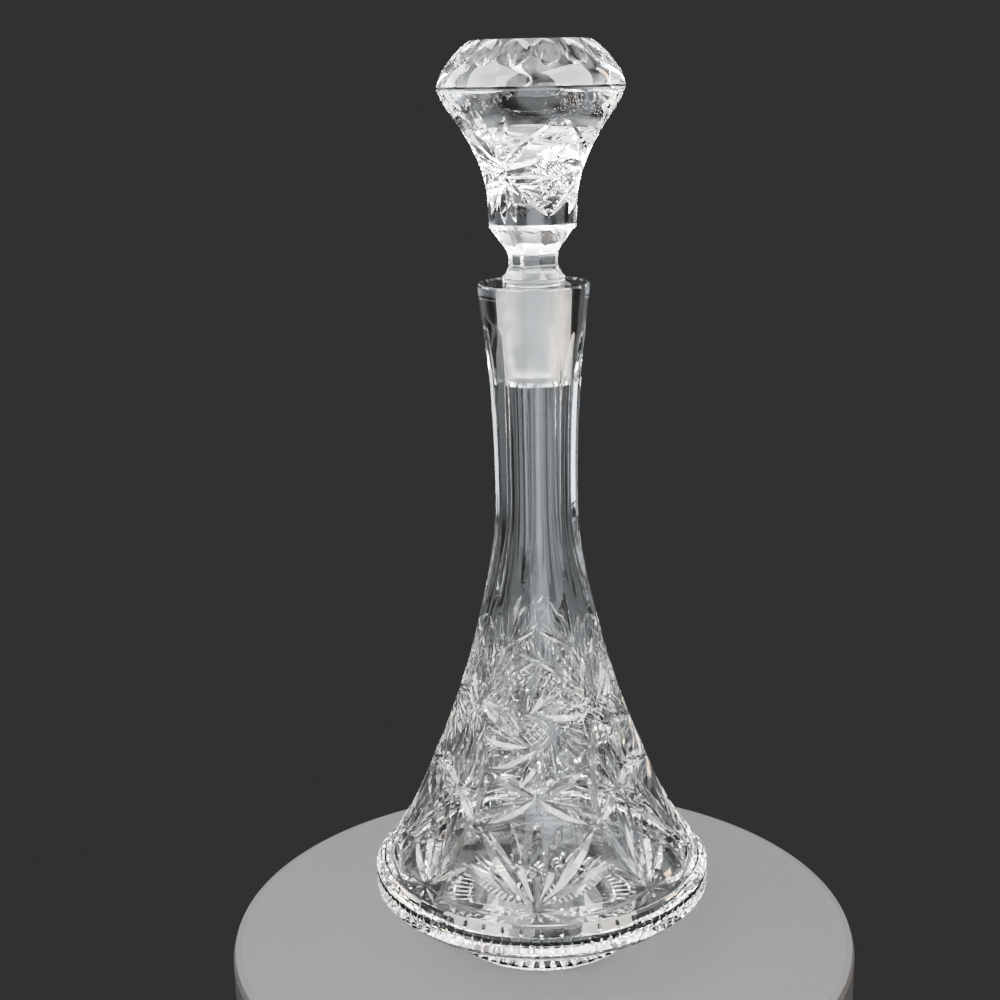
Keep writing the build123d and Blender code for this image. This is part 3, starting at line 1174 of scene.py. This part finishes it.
    def build(self, shop: Workshop) -> None:
        """Turn, panel, cut and frost the bottle.

        Args:
            shop: the shared trees and finishes.
        """
        flat = self.flat_start + 180 / self.rim_flats
        facets = [Facets(self.foot_flats, self.flat_start + 180 / self.foot_flats, 0.0, 7.0, 0.35, least_r=40.0),
                  Facets(self.rim_flats, flat, self.rim_z, self.rim_z + 8, 0.45),
                  Facets(self.neck_flats, self.neck_turn, self.neck_low, self.lip_z - self.neck_below_lip,
                         self.neck_depth, 0.22)]
        turned = Turned(self.name, self.outline(), facets, self.rim_flats * 4, self.flat_start)
        surface = Surface(turned.outside())
        bench = Bench(surface, shop.cut, shop.wheels)
        cutters = bench.cutters("bowl_cut", self.wide_panel(surface) + self.narrow_panel(surface), 4)
        notch = [Cut(((flat, 33.2), (flat, 38.6)), 0.6, Wheel.BROAD),
                 Cut(((flat, 28.5), (flat, 24.6)), 0.5, Wheel.BROAD),
                 Cut(((flat, 26.0), (flat, 35.0)), 0.9, Wheel.FINE, 0.8),
                 Cut(((flat + 3.2, 26.0), (flat + 3.2, 35.0)), 0.9, Wheel.FINE, 0.8),
                 Cut(((flat, 1.6), (flat, 6.6)), 0.5, Wheel.BROAD, 0.6)]
        cutters += bench.cutters("rim_notch", notch, self.rim_flats)
        blank = turned.build(shop.turning, shop.polished)
        self.hand_over(shop.grind(blank, cutters, (self.seat_low, self.lip_z - 0.3, FROST_R)))


@dataclass
class Stopper(Piece):
    """The stopper: ground peg, panelled waist, cut bell and petalled crown.

    Attributes:
        lip_z: top of the neck that it stands in.
        top_z: top of its crown.
        peg_z: lower end of its peg.
        girdle_r: its widest radius.
        ridge_r: radius of the ridge over the waist.
        shoulder_r: radius of the shoulder over the lip.
        bulge_r: radius of the crown where its side bulges.
        crown_r: radius of the flat top.
        petals: petals round the crown.
        petal_wheel: radius, depth and stretch of the round wheel that hollows them.
        waist_flats: flats round the waist.
        star_turn: angle of the first star.
        diamond_turn: angle of the first diamond.
        pattern_up: height of their middles over the lip.
        bell_shape: shares of height and of radius that shape the bell.
    """

    lip_z: float = 300.7
    top_z: float = 400.0
    peg_z: float = 262.0
    girdle_r: float = 38.9
    ridge_r: float = 18.4
    shoulder_r: float = 13.3
    bulge_r: float = 34.3
    crown_r: float = 24.5
    petals: int = 16
    petal_wheel: tuple[float, float, float] = (14.0, 1.35, 1.45)
    waist_flats: int = 8
    star_turn: float = -39.0
    diamond_turn: float = 21.0
    pattern_up: float = 46.8
    bell_shape: tuple[Point, ...] = ((0.14, 0.98), (0.34, 0.91), (0.54, 0.71), (0.76, 0.38), (0.93, 0.08))

    def outline(self) -> list[Point]:
        """Draw the outline, from under the peg to the middle of the crown.

        Returns:
            (radius, height) points.
        """
        lip, wide = self.lip_z, self.shoulder_r
        seat_high = lip - SEAT_LEAD
        slope = (SEAT_HIGH_R - SEAT_LOW_R) / (seat_high - SEAT_LOW_Z)
        peg_low = SEAT_HIGH_R - (seat_high - self.peg_z) * slope - SEAT_GAP
        peg_high = SEAT_HIGH_R + 1.3 * slope - SEAT_GAP
        peg = [(0, self.peg_z), (peg_low - 0.6, self.peg_z), (peg_low, self.peg_z + 0.6), (peg_high, lip + 0.5),
               (wide, lip + 0.5), (wide, lip + 2.5)]
        waist = smooth_run([(wide, lip + 2.5), (11.2, lip + 6), (10.7, lip + 9.8), (11.2, lip + 13),
                            (wide, lip + 16.3)], 12)[1:]
        ridge = spread([(wide, lip + 16.3), (self.ridge_r, lip + 23.5), (self.ridge_r, lip + 25.1)], 2.5)[1:]
        low, high = (self.ridge_r, lip + 25.1), (self.girdle_r, lip + 79.5)
        bell = smooth_run([low, *between(low, high, list(self.bell_shape)), high], 44)[1:]
        girdle = [(self.girdle_r, lip + 81.1)]
        crown = smooth_run([(self.girdle_r, lip + 81.1), (37.2, lip + 86.2), (self.bulge_r, lip + 90.3),
                            (30.0, lip + 95.2), (self.crown_r, self.top_z)], 14)[1:]
        return peg + waist + ridge + bell + girdle + crown + [(12, self.top_z), (0, self.top_z)]

    def balls(self, shop: Workshop) -> bpy.types.Object:
        """Make the round wheel that hollows the petals, repeated round the crown.

        Args:
            shop: the shared trees and finishes.

        Returns:
            The cutter.
        """
        radius, depth, stretch = self.petal_wheel
        lean = math.atan2(self.bulge_r - self.crown_r, 9.0)
        turn = math.radians(180 / self.petals)
        side = Vector((math.sin(turn), -math.cos(turn), 0))
        middle = side * (0.5 * (self.bulge_r + self.crown_r) + 1.6) + Vector((0, 0, self.lip_z + 93.6))
        out = side * math.cos(lean) + Vector((0, 0, math.sin(lean)))
        along = Vector((0, 0, math.cos(lean))) - side * math.sin(lean)
        shape = bmesh.new()
        place = Matrix.Translation((middle + out * (radius - depth)) * MM) @ Matrix.Scale(stretch, 4, along)
        bmesh.ops.create_icosphere(shape, subdivisions=5, radius=radius * MM, matrix=place)
        return run_tree(modelled("petal_ball", shape), shop.balls, {"Repeats": self.petals, "Cut glass": shop.polished})

    def pattern(self, surface: Surface) -> list[Cut]:
        """Draw a third of the bell: a star, and a diamond with a pinwheel.

        Args:
            surface: the outside of the stopper.

        Returns:
            The cuts.
        """
        up = self.lip_z + self.pattern_up
        star = Panel(surface, self.star_turn)
        tips = [(-3, 31), (22, 24), (-22, 29), (-42, 15), (-52, -2), (-29, -18), (0, -21.5), (18, -20.5)]
        star.fan((0, up), [(angle, up + rise) for angle, rise in tips], 1.7)
        for angle, rise in ((9, 21), (-15, 20), (-34, 15), (-14, -17), (9, -17), (-42, -9)):
            star.cut([(angle * 0.3, up + rise * 0.3), (angle, up + rise)], 0.5, wheel=Wheel.FINE)
        diamond = Panel(surface, self.diamond_turn)
        corners = [(0, up + 22.5), (60, up), (0, up - 18), (-60, up)]
        inner = [(0, up + 18.5), (50, up), (0, up - 14.5), (-50, up)]
        for i in range(4):
            ends, inside = [corners[i], corners[(i + 1) % 4]], [inner[i], inner[(i + 1) % 4]]
            middle = [((a[0] + b[0]) / 2, (a[1] + b[1]) / 2) for a, b in zip(ends, inside)]
            diamond.cut(ends, 0.85, blunt=0.7)
            diamond.ladder(middle, 11, 2.8, 0.55)
        diamond.pinwheel((4, up + 1), 10, 3.4, 12.0, 62.0, 0.8)
        for side in (1, -1):
            diamond.cut([(side * 31, up - 13.5), (side * 31, up - 8.5)], 0.8, wheel=Wheel.ROUND)
        return star.cuts + diamond.cuts

    def build(self, shop: Workshop) -> None:
        """Turn, panel, cut and frost the stopper.

        Args:
            shop: the shared trees and finishes.
        """
        lip = self.lip_z
        facets = [Facets(self.waist_flats, -7.5, lip + 3.0, lip + 23.5, 0.75, 0.06)]
        turned = Turned(self.name, self.outline(), facets, 192, 0.0)
        surface = Surface(turned.outside())
        bench = Bench(surface, shop.cut, shop.wheels, pitch=2.4)
        cutters = bench.cutters("bell_cut", self.pattern(surface), 3) + [self.balls(shop)]
        blank = turned.build(shop.turning, shop.polished)
        self.hand_over(shop.grind(blank, cutters, (self.peg_z - 1, lip + 0.4, FROST_R)))


# --------------------------------------------------------------------------- studio
@dataclass(frozen=True)
class Softbox:
    """A soft lamp that looks at the middle of the object.

    Attributes:
        name: its name.
        azimuth: angle from the front, towards +X.
        elevation: angle above the floor.
        distance: distance from the middle of the object, in metres.
        size: width and height, in metres.
        power: power in watts.
        colour: its colour.
    """

    name: str
    azimuth: float
    elevation: float
    distance: float
    size: tuple[float, float]
    power: float
    colour: Colour = (1.0, 1.0, 1.0)

    def place(self, target: Vector) -> None:
        """Hang the lamp.

        Args:
            target: what it looks at.
        """
        data = bpy.data.lights.new(self.name, "AREA")
        data.shape = "RECTANGLE"
        data.size, data.size_y = self.size
        data.energy, data.color = self.power, self.colour
        lamp = bpy.data.objects.new(self.name, data)
        a, e = math.radians(self.azimuth), math.radians(self.elevation)
        away = Vector((math.sin(a) * math.cos(e), -math.cos(a) * math.cos(e), math.sin(e)))
        lamp.location = target + away * self.distance
        lamp.rotation_euler = away.to_track_quat("Z", "Y").to_euler()
        lamp.visible_camera = False
        bpy.context.scene.collection.objects.link(lamp)


@dataclass
class Studio:
    """Floor, lamps, surroundings and camera.

    Attributes:
        camera_place: where the camera stands, in metres.
        camera_turn: how far it turns to the left of the axis, in degrees.
        camera_pitch: how far it looks down.
        camera_roll: how far it leans.
        lens: focal length.
        floor_r: radius of the floor, in metres.
        low_light: brightness of the room near the floor.
        high_light: brightness of the room overhead.
        room_rise: heights of a direction between which it grows from low to high.
        backdrop: plain colour behind the object.
        lamps: the lamps.
    """

    camera_place: tuple[float, float, float] = (0.0, -0.694, 0.3901)
    camera_turn: float = 1.325
    camera_pitch: float = 14.9
    camera_roll: float = 1.12
    lens: float = 58.9
    floor_r: float = 0.14
    low_light: float = 0.09
    high_light: float = 1.5
    room_rise: tuple[float, float] = (0.08, 0.72)
    backdrop: Colour = (0.06, 0.059, 0.06)
    lamps: tuple[Softbox, ...] = (
        Softbox("back_left", -118, 34, 1.0, (0.3, 0.45), 3.5),
        Softbox("back_right", 112, 28, 1.0, (0.1, 0.6), 2.8, (1.0, 0.72, 0.46)),
        Softbox("front_low", 8, -12, 0.9, (0.8, 1.0), 4.4, (0.84, 0.92, 1.0)),
        Softbox("front", -26, 40, 1.1, (0.6, 0.45), 4.0),
        Softbox("left_high", -60, 50, 1.0, (0.85, 0.68), 19.0),
        Softbox("right_high", 58, 48, 1.0, (0.8, 0.62), 19.0, (1.0, 0.94, 0.87)),
        Softbox("top", 10, 80, 1.0, (0.9, 0.9), 3.5),
    )

    def camera(self) -> None:
        """Stand the camera in front, looking down."""
        turn, pitch, roll = (math.radians(v) for v in (self.camera_turn, self.camera_pitch, self.camera_roll))
        ahead = Vector((-math.sin(turn) * math.cos(pitch), math.cos(turn) * math.cos(pitch), -math.sin(pitch)))
        right = ahead.cross(Vector((0, 0, 1))).normalized()
        up = right.cross(ahead)
        leaning = up * math.cos(roll) + right * math.sin(roll)
        level = right * math.cos(roll) - up * math.sin(roll)
        data = bpy.data.cameras.new("camera")
        data.lens, data.sensor_width = self.lens, 36.0
        data.clip_start, data.clip_end = 0.01, 50.0
        camera = bpy.data.objects.new("camera", data)
        facing = Matrix((level, leaning, -ahead)).transposed().to_4x4()
        camera.matrix_world = Matrix.Translation(self.camera_place) @ facing
        bpy.context.scene.collection.objects.link(camera)
        bpy.context.scene.camera = camera

    def floor(self) -> None:
        """Lay the plain floor: a round table top with a soft edge."""
        shape = bmesh.new()
        rings = [(0.0, 0.0), (self.floor_r, 0.0), (self.floor_r + 0.003, -0.001), (self.floor_r + 0.004, -0.004),
                 (self.floor_r + 0.004, -0.02), (0.0, -0.02)]
        steps = 128
        for i in range(len(rings) - 1):
            for k in range(steps):
                quad = [(*rings[i + a], math.tau * (k + b) / steps) for a, b in ((0, 0), (1, 0), (1, 1), (0, 1))]
                shape.faces.new([shape.verts.new((r * math.cos(t), r * math.sin(t), z)) for r, z, t in quad])
        bmesh.ops.remove_doubles(shape, verts=shape.verts, dist=1e-6)
        bmesh.ops.recalc_face_normals(shape, faces=shape.faces)
        floor = modelled("floor", shape)
        floor.data.materials.append(floor_material())
        floor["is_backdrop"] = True

    def surroundings(self) -> None:
        """A dark plain backdrop, and the lighter room that only the glass and the floor see."""
        world = bpy.context.scene.world = bpy.data.worlds.new("room")
        tree = Nodes.of(world)
        place = tree.add("ShaderNodeTexCoord").outputs["Generated"]
        height = tree.add("ShaderNodeSeparateXYZ", {0: place}).outputs[2]
        low, high = self.room_rise
        room = tree.add("ShaderNodeMapRange", {
            "Value": height, "From Min": low, "From Max": high, "To Min": self.low_light,
            "To Max": self.high_light}, interpolation_type="SMOOTHSTEP")
        things = tree.add("ShaderNodeTexNoise", {"Vector": place, "Scale": 3.6, "Detail": 0.6}).outputs[0]
        shade = tree.add("ShaderNodeMapRange", {
            "Value": things, "From Min": 0.43, "From Max": 0.57, "To Min": 0.4,
            "To Max": 1.7}, interpolation_type="SMOOTHSTEP").outputs[0]
        strength = tree.math("MULTIPLY", room.outputs[0], shade)
        hue = tree.blend(shade, (1.0, 0.86, 0.78), (0.95, 0.98, 1.0))
        light = tree.add("ShaderNodeBackground", {"Color": hue, "Strength": strength})
        dark = tree.add("ShaderNodeBackground", {"Color": (*self.backdrop, 1)})
        tree.split("Is Camera Ray", light.outputs[0], dark.outputs[0], "ShaderNodeOutputWorld")

    def build(self, target: Vector) -> None:
        """Set up the studio.

        Args:
            target: the middle of the object.
        """
        self.camera()
        self.floor()
        self.surroundings()
        for lamp in self.lamps:
            lamp.place(target)
        cycles = bpy.context.scene.cycles
        cycles.max_bounces = cycles.transmission_bounces = cycles.transparent_max_bounces = 24
        cycles.glossy_bounces = 12
        bpy.context.scene.view_settings.look = "AgX - High Contrast"


def main() -> None:
    """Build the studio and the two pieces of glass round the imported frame."""
    logging.basicConfig(level=logging.INFO, format="%(name)s: %(message)s")
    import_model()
    packed = [list(corner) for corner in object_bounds()]
    _, body_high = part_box("decanter_body")
    stopper_low, stopper_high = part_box("stopper")
    middle = Vector((0, 0, (packed[0][2] + packed[1][2]) / 2))
    Studio().build(middle)
    shop = Workshop()
    Bottle("decanter_body", "decanter", "bottle_crystal", "cut_bottle", 5.5, lip_z=body_high[2] / MM,
           rim_r=body_high[0] / MM).build(shop)
    Stopper("stopper", "stopper", "stopper_crystal", "cut_stopper", 13.0, lip_z=body_high[2] / MM,
            top_z=stopper_high[2] / MM, peg_z=stopper_low[2] / MM, girdle_r=stopper_high[0] / MM).build(shop)


if __name__ == "__main__":
    main()
